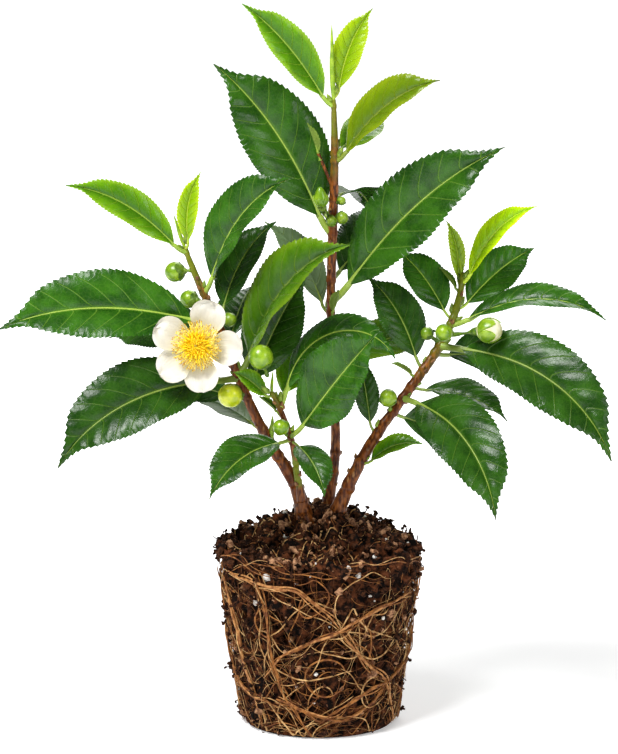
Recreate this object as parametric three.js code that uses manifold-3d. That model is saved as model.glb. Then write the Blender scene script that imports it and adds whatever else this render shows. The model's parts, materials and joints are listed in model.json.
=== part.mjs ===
// A young flowering tea bush (Camellia sinensis) lifted out of its nursery pot, on its root ball.
// Millimetres, +Z up. The origin is the centre of the root ball's flat underside, and -Y is the front.
// Each stem, each leaf blade, the open flower and each large flower bud is one closed solid.
import * as THREE from "three";
import Module from "manifold-3d";

// ---------------------------------------------------------------- driving dimensions, mm and degrees

const GAP = 0.3; // clearance between a piece and the one it grows from

const BALL = { footRadius: 31, rimRadius: 40.5, rimHeight: 72, rimRound: 4, mound: 9, rough: 1.1 };

const GROUND = BALL.rimHeight + BALL.mound + GAP; // height of the stems' flat cut

const BLADE = {
  petioleRadius: 0.8,
  petioleShare: 0.09, // of the leaf's length
  thickness: 0.9, // at the midrib
  edgeThickness: 0.5,
  droopPower: 1.4, // above 1, a leaf bends most near its tip
  rings: [0.13, 0.21, 0.33, 0.47, 0.61, 0.75, 0.87, 0.95], // places along the midrib, as shares of its length
};

// Leaves turn their upper faces to the light, which comes from the front and above.
const LIGHT = new THREE.Vector3(0, -Math.cos(rad(35)), Math.sin(rad(35)));

const TONES = {
  mature: { color: 0x1f5a1c, roughness: 0.42 },
  fresh: { color: 0x4f8f1d, roughness: 0.45 },
  tender: { color: 0x9cc21f, roughness: 0.5 },
};

// A stem runs through its points from the ground, or from inside the stem that it branches from.
const STEMS = {
  left: {
    points: [[-5, -4, GROUND], [-9.5, -6, 98], [-19.5, -10, 115.5], [-29, -13, 135.5], [-40, -14, 164.5],
      [-48.5, -12, 183], [-53.5, -10, 195.5]],
    footRadius: 3.1,
    tipRadius: 1.0,
    flare: 1.1,
  },
  centre: {
    points: [[2.5, 7, GROUND], [6.5, 9, 109], [4.5, 9, 152.5], [5, 7, 191.5], [6, 4, 228], [5.5, 2, 253]],
    footRadius: 2.4,
    tipRadius: 0.9,
    flare: 0.8,
  },
  right: {
    points: [[5, -4, GROUND], [13, -6, 101], [22.5, -5, 118], [36, 0, 136], [49.5, 5, 155], [55.5, 8, 169],
      [57.5, 8, 182.5]],
    footRadius: 3.1,
    tipRadius: 1.0,
    flare: 1.1,
  },
  inner: {
    points: [[-7.2, -5.5, 90], [-8.4, -9, 99], [-9.5, -12, 109], [-11.5, -15, 119.5], [-15.5, -19, 131.5],
      [-19, -22, 139.5]],
    footRadius: 1.9,
    tipRadius: 1.4,
    flare: 0,
    from: "left",
  },
};

// Every leaf, from each stem's foot up: where it leaves the stem (a share of the stem's length), the compass
// direction it heads in (0 is +X, 90 is the back), how steeply it rises, how far it droops from there to its
// tip, its length with petiole, its width, how far its face rolls up from the light, and how far its halves
// fold up from the midrib, and how far that roll turns back between petiole and tip.
const LEAVES = {
  left: [
    { at: 0.36, heading: 138, rise: 25, droop: 30, length: 37, width: 15, roll: 35, fold: 8 },
    { at: 0.48, heading: 160, rise: 14, droop: 25, length: 48, width: 18 },
    { at: 0.5, heading: 15, rise: 71, droop: 20, length: 50, width: 24 },
    { at: 0.55, heading: -161, rise: 2, droop: 60, length: 82, width: 30 },
    { at: 0.56, heading: -34, rise: 71, droop: 55, length: 78, width: 28, roll: 30, fold: 22, tone: "fresh" },
    { at: 0.66, heading: 75, rise: 45, droop: 40, length: 37, width: 18, roll: 20 },
    { at: 0.71, heading: 146, rise: 2, droop: 25, length: 54, width: 21 },
    { at: 0.74, heading: -171, rise: 17, droop: 40, length: 86, width: 30 },
    { at: 0.75, heading: 28, rise: 76, droop: 48, length: 45, width: 17, roll: 20 },
    { at: 0.84, heading: -26, rise: 75, droop: 56, length: 63, width: 24, roll: 25, fold: 22 },
    { at: 0.98, heading: -172, rise: 50, droop: 44, length: 55, width: 18, tone: "fresh" },
    { at: 0.99, heading: 15, rise: 98, droop: 42, length: 31, width: 8, tone: "tender" },
  ],
  centre: [
    { at: 0.28, heading: 84, rise: 8, droop: 30, length: 46, width: 21 },
    { at: 0.37, heading: 32, rise: 22, droop: 30, length: 50, width: 18, tone: "fresh" },
    { at: 0.49, heading: 161, rise: 72, droop: 42, length: 45, width: 15, roll: 20 },
    { at: 0.52, heading: -20, rise: 56, droop: 31, length: 97, width: 30 },
    { at: 0.57, heading: 60, rise: 28, droop: 20, length: 60, width: 23 },
    { at: 0.68, heading: 179, rise: 69, droop: 30, length: 82, width: 32, fold: 12 },
    { at: 0.71, heading: 136, rise: 42, droop: 25, length: 58, width: 22 },
    { at: 0.76, heading: 64, rise: 12, droop: 80, length: 42, width: 18, roll: 50 },
    { at: 0.85, heading: -29, rise: 57, droop: 45, length: 58, width: 20, roll: 20, fold: 20, tone: "tender" },
    { at: 0.87, heading: 58, rise: 22, droop: 15, length: 38, width: 14, tone: "fresh" },
    { at: 0.98, heading: -163, rise: 60, droop: 25, length: 55, width: 18, tone: "fresh" },
    { at: 1.0, heading: 9, rise: 82, droop: 33, length: 38, width: 12, tone: "tender" },
  ],
  right: [
    { at: 0.25, heading: -14, rise: 48, droop: 60, length: 26, width: 10, roll: 25, tone: "fresh" },
    { at: 0.36, heading: 150, rise: 83, droop: 10, length: 30, width: 10 },
    { at: 0.45, heading: 42, rise: -18, droop: 30, length: 46, width: 20 },
    { at: 0.51, heading: -55, rise: -1, droop: 78, length: 76, width: 27 },
    { at: 0.56, heading: -16, rise: 4, droop: 48, length: 40, width: 18, roll: 35 },
    { at: 0.63, heading: 157, rise: 74, droop: 40, length: 42, width: 18 },
    { at: 0.7, heading: 36, rise: -2, droop: 25, length: 55, width: 22 },
    { at: 0.73, heading: -33, rise: 3, droop: 70, length: 91, width: 29 },
    { at: 0.81, heading: -13, rise: 33, droop: 68, length: 65, width: 16, roll: 30 },
    { at: 0.83, heading: 155, rise: 62, droop: 30, length: 34, width: 16 },
    { at: 0.87, heading: 26, rise: 46, droop: 28, length: 41, width: 18 },
    { at: 0.95, heading: -165, rise: 94, droop: 36, length: 27, width: 8, tone: "tender" },
    { at: 0.96, heading: -32, rise: 68, droop: 51, length: 48, width: 13, roll: 20, tone: "tender" },
  ],
  inner: [
    { at: 0.55, heading: -61, rise: -10, droop: 60, length: 31, width: 14, roll: 20 },
    { at: 0.57, heading: -133, rise: 5, droop: 60, length: 49, width: 19, roll: 15 },
    { at: 0.6, heading: -43, rise: 50, droop: 7, length: 63, width: 29 },
    { at: 0.85, heading: -4, rise: 84, droop: 150, length: 66, width: 20, roll: 15, fold: -16, twist: -40 },
    { at: 0.89, heading: 64, rise: 37, droop: 30, length: 40, width: 18, tone: "fresh" },
    { at: 0.97, heading: -144, rise: 49, droop: 30, length: 21, width: 8, tone: "fresh" },
  ],
};

// Round flower buds, each on a stalk: `reach` runs from the middle of the stem to the middle of the bud.
const BUDS = [
  { stem: "left", at: 0.49, heading: -118, rise: 8, reach: 12.3, radius: 4.8 },
  { stem: "left", at: 0.81, heading: 156, rise: 4, reach: 8, radius: 3.6 },
  { stem: "left", at: 0.92, heading: 168, rise: -8, reach: 7.4, radius: 4 },
  { stem: "inner", at: 0.68, heading: -107, rise: 8, reach: 8, radius: 3.2 },
  { stem: "inner", at: 0.93, heading: -118, rise: 58, reach: 22, radius: 4.8 },
  { stem: "centre", at: 0.75, heading: -118, rise: 17, reach: 11.2, radius: 3.3 },
  { stem: "right", at: 0.44, heading: -108, rise: 62, reach: 8.4, radius: 3.5 },
  { stem: "right", at: 0.76, heading: -93, rise: 20, reach: 12, radius: 3.5 },
  { stem: "right", at: 0.77, heading: -45, rise: 12, reach: 24, radius: 5 },
];

const BUD_STALK = 0.9; // radius

// The open flower, on a stalk, and the heading and rise of the way that it faces.
const FLOWER = {
  stem: "left",
  at: 0.68,
  heading: -122,
  rise: 1,
  reach: 18.9,
  facing: [-96, 12],
  radius: 18.8,
  petals: 5,
  stamenRadius: 9.8,
};

// ---------------------------------------------------------------- helpers

function rad(degrees) {
  return (degrees * Math.PI) / 180;
}

// The unit vector along a compass heading and a rise above the level.
function direction(heading, rise) {
  return new THREE.Vector3(
    Math.cos(rad(heading)) * Math.cos(rad(rise)),
    Math.sin(rad(heading)) * Math.cos(rad(rise)),
    Math.sin(rad(rise)),
  );
}

function smoothstep(low, high, x) {
  const t = THREE.MathUtils.clamp((x - low) / (high - low), 0, 1);
  return t * t * (3 - 2 * t);
}

// A closed surface over equal rings of points, which run anticlockwise seen from the far end. Each end
// closes on a point.
function loft(start, rings, end) {
  const sides = rings[0].length;
  const points = [start, ...rings.flat(), end];
  const faces = [];
  const id = (ring, k) => 1 + ring * sides + (k % sides);
  for (let k = 0; k < sides; k++) faces.push(0, id(0, k + 1), id(0, k));
  for (let r = 0; r + 1 < rings.length; r++) {
    for (let k = 0; k < sides; k++) {
      faces.push(id(r, k), id(r, k + 1), id(r + 1, k + 1), id(r, k), id(r + 1, k + 1), id(r + 1, k));
    }
  }
  const last = rings.length - 1;
  for (let k = 0; k < sides; k++) faces.push(points.length - 1, id(last, k), id(last, k + 1));
  const geometry = new THREE.BufferGeometry().setFromPoints(points);
  geometry.setIndex(faces);
  geometry.computeVertexNormals();
  return geometry;
}

// Two unit vectors square to an axis, the first as near to `towards` as it can be.
function squareTo(axis, towards) {
  const u = towards.clone().addScaledVector(axis, -towards.dot(axis)).normalize();
  return [u, axis.clone().cross(u)];
}

function circle(centre, axis, radius, sides, towards = new THREE.Vector3(1, 0, 0)) {
  const [u, v] = squareTo(axis, towards);
  return Array.from({ length: sides }, (_, k) => {
    const a = (2 * Math.PI * k) / sides;
    return centre.clone().addScaledVector(u, radius * Math.cos(a)).addScaledVector(v, radius * Math.sin(a));
  });
}

// ---------------------------------------------------------------- stems

const UP = new THREE.Vector3(0, 0, 1);

function stemCurve(name) {
  return new THREE.CatmullRomCurve3(STEMS[name].points.map((p) => new THREE.Vector3(...p)));
}

// Radius of a stem at a share of its length, with a flare over its lowest few millimetres.
function stemRadius(name, share) {
  const { footRadius, tipRadius, flare } = STEMS[name];
  const reach = 7 / stemCurve(name).getLength();
  return THREE.MathUtils.lerp(footRadius, tipRadius, share ** 0.8) + flare * Math.exp(-share / reach);
}

function stemGeometry(name, extra = 0) {
  const curve = stemCurve(name);
  const sides = 10;
  const steps = Math.round(curve.getLength() / 9);
  const rings = [];
  for (let i = 0; i <= steps; i++) {
    const share = i / steps;
    const axis = i === 0 && !STEMS[name].from ? UP : curve.getTangentAt(share);
    rings.push(circle(curve.getPointAt(share), axis, stemRadius(name, share) + extra, sides));
  }
  return loft(curve.getPointAt(0), rings, curve.getPointAt(1));
}

// ---------------------------------------------------------------- leaves

// Half the width of a blade, as a share of its greatest half width, `v` of the way from petiole to tip:
// an ellipse widest below its middle, drawn out into a narrow tip.
function outline(v) {
  return Math.sin(Math.PI * v ** 0.85) ** 0.9 * (1 - 0.45 * smoothstep(0.72, 1, v));
}

function leafGeometry(stem, leaf) {
  const { at, heading, rise, droop, length, width, roll = 0, fold = 16, twist = 0 } = leaf;
  const curve = stemCurve(stem);
  const along = curve.getTangentAt(at);
  const side = direction(heading + 90, 0);
  const tilt = (share) => rise - droop * share ** BLADE.droopPower;
  const tangent = (share) => direction(heading, tilt(share));
  const upward = (share) => tangent(share).cross(side);

  // The petiole leaves the stem squarely, then turns the leaf's own way.
  const [out] = squareTo(along, tangent(0));
  const start = curve.getPointAt(at).addScaledVector(out, stemRadius(stem, at) + GAP);
  const elbow = start.clone().addScaledVector(out, BLADE.petioleRadius);

  const steps = 120;
  const midrib = [elbow];
  for (let i = 0; i < steps; i++) {
    midrib.push(midrib[i].clone().addScaledVector(tangent((i + 0.5) / steps), length / steps));
  }

  // The blade is turned about its midrib so that its middle faces the light, then rolled up from it.
  const middle = 0.5;
  const lit = Math.atan2(LIGHT.dot(side), LIGHT.dot(upward(middle)));
  const turn = (share) => lit + Math.sign(side.y) * rad(roll + twist * (share - middle));

  const ring = (share, half, lift, thick, edge) => {
    const centre = midrib[Math.round(share * steps)];
    const angle = turn(share);
    const face = upward(share).multiplyScalar(Math.cos(angle)).addScaledVector(side, Math.sin(angle));
    const across = face.clone().cross(tangent(share));
    const point = (a, f) => centre.clone().addScaledVector(across, a).addScaledVector(face, f);
    return [
      point(half, lift - edge / 2),
      point(half, lift + edge / 2),
      point(0, thick / 2),
      point(-half, lift + edge / 2),
      point(-half, lift - edge / 2),
      point(0, -thick / 2),
    ];
  };

  const r = BLADE.petioleRadius;
  const rings = [0, BLADE.petioleShare].map((share) => ring(share, r * 0.87, 0, 2 * r, r));
  for (const share of BLADE.rings) {
    const v = (share - BLADE.petioleShare) / (1 - BLADE.petioleShare);
    const half = Math.max((width / 2) * outline(v), r);
    const slope = rad(fold);
    rings.push(ring(share, half * Math.cos(slope), half * Math.sin(slope), BLADE.thickness, BLADE.edgeThickness));
  }
  return loft(start, rings, midrib[steps]);
}

// ---------------------------------------------------------------- buds and flower

// Where a stalk leaves its stem: clear of the stem's surface, however steeply it sets off.
function stalkFoot({ stem, at, heading, rise }, stalkRadius) {
  const curve = stemCurve(stem);
  const aim = direction(heading, rise);
  const along = curve.getTangentAt(at);
  const across = Math.sqrt(1 - along.dot(aim) ** 2);
  const lean = Math.abs(along.dot(aim));
  const clear = (stemRadius(stem, at) + GAP + stalkRadius * lean) / across;
  return { centre: curve.getPointAt(at), aim, clear };
}

function budGeometry(bud) {
  const { reach, radius } = bud;
  const { centre, aim, clear } = stalkFoot(bud, BUD_STALK);
  const profile = [[clear + 0.1, BUD_STALK], [reach - radius * 1.1, BUD_STALK]]; // [distance out, radius]
  for (const a of [-50, -20, 10, 40, 68]) {
    profile.push([reach + radius * Math.sin(rad(a)), radius * Math.cos(rad(a))]);
  }
  const out = (distance) => centre.clone().addScaledVector(aim, distance);
  return loft(
    out(clear),
    profile.map(([distance, r]) => circle(out(distance), aim, r, 8)),
    out(reach + radius * 1.05),
  );
}

function flowerCentre() {
  const { centre, aim } = stalkFoot(FLOWER, 1);
  return centre.addScaledVector(aim, FLOWER.reach);
}

// The stalk, the cup behind the petals, then the petals out to their rounded ends and back to the middle.
function petalsGeometry() {
  const { radius, petals, facing } = FLOWER;
  const stalkRadius = 1.2;
  const sides = petals * 8;
  const face = direction(...facing);
  const heart = flowerCentre();
  const { centre, aim, clear } = stalkFoot(FLOWER, stalkRadius);
  const side = direction(facing[0] + 90, 0);
  const [u, v] = squareTo(face, side);
  const lobed = (share, forward) =>
    Array.from({ length: sides }, (_, k) => {
      const a = (2 * Math.PI * k) / sides;
      const lobe = 0.72 + 0.28 * Math.abs(Math.cos((petals * a) / 2)) ** 0.6;
      const r = radius * share * (share > 0.5 ? lobe : 1);
      return heart
        .clone()
        .addScaledVector(face, forward)
        .addScaledVector(u, r * Math.cos(a))
        .addScaledVector(v, r * Math.sin(a));
    });
  const out = (distance) => centre.clone().addScaledVector(aim, distance);
  const rings = [
    circle(out(clear + 0.1), aim, stalkRadius, sides, side),
    circle(heart.clone().addScaledVector(face, -6), face, stalkRadius, sides, side),
    lobed(0.17, -4.5),
    lobed(0.55, -2),
    lobed(1, 1),
    lobed(0.99, 1.7),
    lobed(0.55, -1),
    lobed(0.2, -2),
  ];
  return loft(out(clear), rings, heart.clone().addScaledVector(face, -2));
}

// The stamens stand in one brush that spreads forward from the flower's middle.
function stamensGeometry() {
  const { stamenRadius, facing } = FLOWER;
  const face = direction(...facing);
  const forward = (distance) => flowerCentre().addScaledVector(face, distance);
  const profile = [[-1.5, 0.25], [1, 0.6], [4.5, 0.97], [5.8, 0.93], [6.2, 0.5]]; // [forward, share of radius]
  return loft(
    forward(-1.7),
    profile.map(([distance, share]) => circle(forward(distance), face, stamenRadius * share, 16)),
    forward(5.4),
  );
}

// ---------------------------------------------------------------- root ball

// Uneven soil: a few waves round and up the ball, from -1 to 1.
function lumps(angle, height) {
  return (
    0.4 * Math.sin(3 * angle + 0.09 * height) +
    0.35 * Math.sin(7 * angle - 0.16 * height + 1.3) +
    0.25 * Math.sin(12 * angle + 0.31 * height + 2.1)
  );
}

function ballGeometry() {
  const { footRadius, rimRadius, rimHeight, rimRound, mound, rough } = BALL;
  const sides = 40;
  const wallSteps = 9;
  const topSteps = 5;
  const profile = []; // [radius, height, how uneven]
  for (let i = 0; i <= wallSteps; i++) {
    const share = i / wallSteps;
    profile.push([THREE.MathUtils.lerp(footRadius, rimRadius, share), share * (rimHeight - rimRound), 1]);
  }
  profile.push([rimRadius - rimRound * 0.6, rimHeight - 0.8, 1]);
  for (let i = 1; i < topSteps; i++) {
    const share = i / topSteps;
    profile.push([(rimRadius - rimRound) * (1 - share), rimHeight + mound * Math.sin((share * Math.PI) / 2), 1 - share]);
  }
  const rings = profile.map(([radius, height, uneven]) =>
    Array.from({ length: sides }, (_, k) => {
      const angle = (2 * Math.PI * k) / sides;
      const bump = rough * uneven * lumps(angle, height);
      const lift = height > rimHeight - rimRound ? bump * 0.7 : 0; // the underside stays level
      return new THREE.Vector3((radius + bump) * Math.cos(angle), (radius + bump) * Math.sin(angle), height + lift);
    }),
  );
  return loft(new THREE.Vector3(0, 0, 0), rings, new THREE.Vector3(0, 0, rimHeight + mound));
}

// ---------------------------------------------------------------- assembly

const wasm = await Module();
wasm.setup();

function manifoldOf(geometry) {
  return new wasm.Manifold(
    new wasm.Mesh({
      numProp: 3,
      vertProperties: geometry.getAttribute("position").array,
      triVerts: new Uint32Array(geometry.index.array),
    }),
  );
}

function geometryOf(manifold) {
  const mesh = manifold.getMesh();
  const geometry = new THREE.BufferGeometry();
  geometry.setAttribute("position", new THREE.BufferAttribute(mesh.vertProperties, 3));
  geometry.setIndex(Array.from(mesh.triVerts));
  geometry.computeVertexNormals();
  return geometry;
}

const materials = {
  bark: new THREE.MeshStandardMaterial({ color: 0x6b4023, roughness: 0.7 }),
  soil: new THREE.MeshStandardMaterial({ color: 0x33211a, roughness: 0.95 }),
  bud: new THREE.MeshStandardMaterial({ color: 0x7fae2a, roughness: 0.4 }),
  petal: new THREE.MeshStandardMaterial({ color: 0xf6f2e8, roughness: 0.6 }),
  stamen: new THREE.MeshStandardMaterial({ color: 0xf0c020, roughness: 0.7 }),
};
for (const [tone, look] of Object.entries(TONES)) {
  materials[tone] = new THREE.MeshStandardMaterial({ ...look, side: THREE.DoubleSide });
}

const bush = new THREE.Group();

function add(name, geometry, material) {
  const mesh = new THREE.Mesh(geometry, material);
  mesh.name = name;
  bush.add(mesh);
}

add("root_ball", ballGeometry(), materials.soil);

for (const [name, { from }] of Object.entries(STEMS)) {
  let geometry = stemGeometry(name);
  if (from) {
    geometry = geometryOf(manifoldOf(geometry).subtract(manifoldOf(stemGeometry(from, GAP))));
  }
  add(`stem_${name}`, geometry, materials.bark);
}

for (const [stem, leaves] of Object.entries(LEAVES)) {
  leaves.forEach((leaf, i) => {
    const name = `leaf_${stem}_${String(i + 1).padStart(2, "0")}`;
    add(name, leafGeometry(stem, leaf), materials[leaf.tone ?? "mature"]);
  });
}

BUDS.forEach((bud, i) => add(`bud_${bud.stem}_${i + 1}`, budGeometry(bud), materials.bud));
add("flower_petals", petalsGeometry(), materials.petal);
add("flower_stamens", stamensGeometry(), materials.stamen);

export default bush;
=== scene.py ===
"""A young tea bush in flower on its bare root ball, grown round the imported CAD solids.

Each CAD node is read for its place and form, and a finished piece replaces it: leaves with toothed
margins and raised veins, stems with bark and nodes, buds with sepals, the open flower, and the root
ball with its crumbs and roots. Lengths are in millimetres until a mesh is made.
"""
import json
import math
from dataclasses import dataclass

import bpy
import numpy as np
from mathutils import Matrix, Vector, noise


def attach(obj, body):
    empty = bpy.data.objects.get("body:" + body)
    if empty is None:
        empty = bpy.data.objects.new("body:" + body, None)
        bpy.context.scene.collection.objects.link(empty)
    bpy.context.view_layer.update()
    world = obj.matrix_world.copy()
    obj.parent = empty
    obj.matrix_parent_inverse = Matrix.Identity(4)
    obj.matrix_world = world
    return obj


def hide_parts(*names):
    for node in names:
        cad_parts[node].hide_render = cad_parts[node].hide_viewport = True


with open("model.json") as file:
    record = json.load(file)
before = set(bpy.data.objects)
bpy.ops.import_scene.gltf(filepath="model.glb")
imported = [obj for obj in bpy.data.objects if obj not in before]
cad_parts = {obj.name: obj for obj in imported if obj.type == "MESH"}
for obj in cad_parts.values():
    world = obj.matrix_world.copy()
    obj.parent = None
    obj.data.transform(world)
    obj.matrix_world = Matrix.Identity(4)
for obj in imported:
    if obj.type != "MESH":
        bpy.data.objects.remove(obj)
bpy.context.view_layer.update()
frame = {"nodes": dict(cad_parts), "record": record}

MM = 0.001
TURN = 2 * np.pi
NODES = frame["nodes"]
UP = np.array([0.0, 0.0, 1.0])
LIT_SIDE = np.array([0.0, -math.cos(math.radians(35)), math.sin(math.radians(35))])  # upper faces turn to it
SLOTS = {part["node"]: part["material_slot"] for part in frame["record"]["subparts"]}

# The camera and the studio.
CAMERA_AT = (-4.2, -1472.4, 427.2)
CAMERA_AIM = (-4.2, 0, 141.0)
CAMERA_LENS = 179.05  # for a 36 mm film along the picture's height
LAMPS_AIM = (0, 0, 130)
LAMPS = (  # name, place, size, power
    ("key", (-600, -750, 1400), 640, 33),
    ("fill", (1000, -900, 700), 500, 4.5),
    ("rim", (300, 1100, 1100), 900, 11),
)
FLOOR_RADIUS = 12000
FLOOR_SIDES = 64
FLOOR_DROP = 0.3
FLOOR_PLAIN = 110  # the floor glows little within this distance, so that it shows the plant's shadow
FLOOR_BRIGHT = 640  # and is as bright as the backdrop from here on
FLOOR_GLOW = (0.34, 1.0)
WORLD_LIGHT = 0.17

# Leaves: shares of the length from the elbow at the stem to the tip.
PETIOLE_SHARE = 0.09
RING_SHARES = (0.13, 0.21, 0.33, 0.47, 0.61, 0.75, 0.87, 0.95)
STATIONS = (PETIOLE_SHARE, *RING_SHARES, 1)
TOOTH_PITCH = (1.3, 2.8)
TOOTH_DEPTH = 0.3  # of the pitch
TOOTH_PLACES = (0, 0.4, 0.78, 0.92)  # along one tooth
TOOTH_HEIGHTS = (0, 0.5, 1, 0.35)
COLUMNS = (0, 0.05, 0.14, 0.27, 0.41, 0.55, 0.69, 0.82, 0.94, 1)  # from the midrib to the margin
BLADE_THICK = 0.34
TIP_DRAWN = 0.55  # how much narrower than the plain outline the tip is drawn out
VEIN_PAIRS = 8.5
VEIN_SWELL = 0.036  # of half the width: how far the blade swells up between its veins
CAMBER = 0.26
UNDERSIDE_OUT = ("leaf_left_01", "leaf_centre_03", "leaf_centre_08")  # leaves that show their grey underside
SLIMMER = {"leaf_right_12": 0.74, "leaf_right_13": 0.9, "leaf_centre_11": 0.88, "leaf_left_11": 0.82}
# Some factors paint light and shade: leaf_inner_03, which faces away from the lamps, is made lighter, and
# leaf_left_05, which lies in shade, darker.
LEAF_TONES_AND_PAINTED_LIGHT = {  # leaves lighter or darker than the rest: partly their own tone, partly painted light and shade
    "leaf_left_05": 0.8,
    "leaf_left_08": 1.14,
    "leaf_left_09": 1.05,
    "leaf_left_10": 1.2,
    "leaf_centre_02": 0.78,
    "leaf_centre_09": 0.8,
    "leaf_inner_03": 1.12,
    "leaf_inner_04": 1.3,
    "leaf_inner_05": 1.05,
    "leaf_right_09": 1.3,
    "leaf_right_10": 1.35,
    "leaf_right_11": 1.3,
    "leaf_right_13": 1.24,
}
LEAF_COLOURS = {  # upper face dark and light, vein, underside, rib
    "leaf_mature": ((22, 58, 6), (42, 84, 14), (100, 136, 44), (98, 124, 80), (142, 166, 62)),
    "leaf_fresh": ((54, 104, 2), (90, 142, 6), (142, 178, 34), (122, 150, 44), (150, 182, 56)),
    "leaf_tender": ((104, 142, 0), (136, 169, 0), (168, 188, 24), (148, 174, 30), (170, 192, 52)),
}

# Stems, and the small shoots on them.
BARK_STEP = 0.6
BARK_SIDES = 22
STEMS = ("left", "centre", "right", "inner")
UPPER_STOUT = {"left": 1.2, "centre": 1.55, "right": 1.35, "inner": 1.0}  # bark against CAD, higher up
INNER_SLIM = 0.8  # the inner stem's bark against its CAD solid
STEM_GREEN = {"left": (0.84,), "centre": (0.88,), "right": (0.68,), "inner": (0.9, 0.4)}  # see bark_look
SPIKES = (  # stem, share up it, heading, rise, length, radius
    ("centre", 0.99, -125, 85, 32, 1.1),
    ("left", 1.0, 150, 66, 15, 0.8),
    ("right", 1.0, 120, 70, 10, 0.7),
    ("inner", 1.0, 80, 70, 9, 0.7),
    ("left", 0.33, -60, 80, 12, 1.3),
)
YOUNG_LEAVES = (  # stem, share up it, heading, rise, length, width, bend
    ("centre", 0.5, -70, 62, 13, 4.0, 10),
    ("right", 0.93, 160, 60, 12, 4.0, 20),
    ("inner", 0.8, -160, 50, 10, 3.6, 20),
    ("right", 0.6, -150, 45, 12, 4.2, 25),
)

# Buds and the flower.
RIPE_BUDS = ("bud_left_1",)
OPENING_BUD = "bud_right_9"
POINTED_BUD = "bud_centre_6"
SMALL_BUDS = (  # stem, share up it, heading, rise, reach, radius
    ("left", 0.74, -50, 20, 6, 2.8),
    ("centre", 0.723, -50, 10, 3.6, 2.5),
    ("centre", 0.705, -95, 30, 5, 2.1),
    ("centre", 0.755, -40, 40, 2.8, 1.7),
    ("right", 0.74, -150, 40, 6, 2.5),
    ("left", 0.53, -45, 30, 5, 1.9),
)
PETAL_ANGLES = (71, -3, -80, 220, 157)
PETAL_WIDTH = 13.6
PETAL_WIDEST = 0.6  # of its length
STAMENS = 520
GOLDEN_ANGLE = 2.39996

# The root ball.
SOIL_LOOSE = 6.5  # loose crumbs stand this much above the CAD mound
SOIL_COLUMNS, SOIL_SIDE_ROWS, SOIL_TOP_ROWS = 300, 120, 62
HOLLOWS = 130
CRUMBS = 2100
CLODS = 260
KNOBS = 1050
PERLITE = 46
LARGE_PERLITE = ((-122, 0.9, 1.7), (-66, 0.92, 1.6), (-72, 0.95, 1.2), (-104, 0.88, 1.0))  # (angle, t, size)
# Main roots run through (degrees round from the front, height) on its side.
MAIN_ROOTS = (
    ((-62, 66), (-36, 64), (-9, 61), (12, 47)),
    ((66, 57), (34, 53), (12, 46), (-9, 40), (-27, 33), (-38, 24)),
    ((-38, 66), (-34, 56), (-32, 42), (-30, 30), (-23, 17), (-5, 1)),
    ((12, 46), (31, 31), (48, 22), (60, 10), (66, 2)),
    ((-30, 16), (-15, 13), (16, 8), (36, 13), (52, 24)),
    ((-70, 62), (-62, 45), (-56, 30), (-50, 14), (-44, 3)),
)
RIM_ROOTS = (
    ((-84, 69), (-56, 72), (-30, 68), (-12, 66)),
    ((-34, 73), (-8, 69), (18, 68), (38, 64)),
    ((14, 73), (42, 72), (66, 69), (84, 66)),
    ((-60, 66), (-44, 71), (-22, 73)),
)
ROOT_LOOP = {"angle": 4, "height": 26, "radius": 8}
ROOTS_TO = (0.72, 0.98)  # how far up the side roots wander: most of them leave its upper edge bare
BACK_ROOTS = 13
MEDIUM_ROOTS = 46
FINE_ROOTS = 390
ROOT_HAIRS = 620
TOP_ROOTS = 130


# ---------------- small mathematics


def rgb(red, green, blue):
    """An sRGB colour, 0 to 255, as the linear colour that a shader takes."""
    return (*[((c / 255 + 0.055) / 1.055) ** 2.4 for c in (red, green, blue)], 1)


def smoothstep(low, high, x):
    t = np.clip((x - low) / (high - low), 0, 1)
    return t * t * (3 - 2 * t)


def unit(v):
    return v / np.maximum(np.linalg.norm(v, axis=-1, keepdims=True), 1e-9)


def square_to(v, way):
    """What is left of v without its share along a unit vector."""
    return v - way * (v @ way)


def direction(heading, rise):
    """The way that points heading degrees round from +X and rise degrees up."""
    h, r = math.radians(heading), math.radians(rise)
    return np.array([math.cos(h) * math.cos(r), math.sin(h) * math.cos(r), math.sin(r)])


def round_at(angle, radius, height):
    """The point at an angle round the vertical, in radians from +X."""
    return np.array([radius * math.cos(angle), radius * math.sin(angle), height])


def circle(count):
    """Level unit vectors evenly all round."""
    angle = np.linspace(0, TURN, count, endpoint=False)
    return np.stack([np.cos(angle), np.sin(angle), np.zeros(count)], axis=1)


def smooth(stations, values, at):
    """The values at other places than the stations, on a cubic that runs smoothly through them."""
    stations = np.asarray(stations, float)
    values = np.asarray(values, float)
    slopes = np.gradient(values, stations, axis=0)
    i = np.clip(np.searchsorted(stations, at) - 1, 0, len(stations) - 2)
    gap = (stations[i + 1] - stations[i])[:, None]
    t = (at - stations[i])[:, None] / gap
    start = (2 * t**3 - 3 * t**2 + 1) * values[i] + (t**3 - 2 * t**2 + t) * gap * slopes[i]
    end = (3 * t**2 - 2 * t**3) * values[i + 1] + (t**3 - t**2) * gap * slopes[i + 1]
    return start + end


def resampled(path, step):
    """A smooth path through the points, in even steps."""
    path = np.asarray(path, float)
    along = np.concatenate([[0], np.cumsum(np.linalg.norm(np.diff(path, axis=0), axis=1))])
    return smooth(along, path, np.linspace(0, along[-1], max(int(along[-1] / step), 3) + 1))


def noise_at(points, scale, seed=0.0, detail=1):
    """Smooth noise from -1 to 1, in lumps of the given size."""
    offset = np.array([seed * 17.3, seed * 5.1, seed * 9.7])
    found = np.zeros(len(points))
    for octave in range(detail):
        spots = (points * 2**octave / scale + offset).tolist()
        found += np.array([noise.noise(p) for p in spots]) / 2**octave
    return found


def either(random, share, one, other):
    """A random number from one range in that share of the draws, and else from the other range."""
    return random.uniform(*(one if random.random() < share else other))


# ---------------- reading the CAD solids


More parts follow.
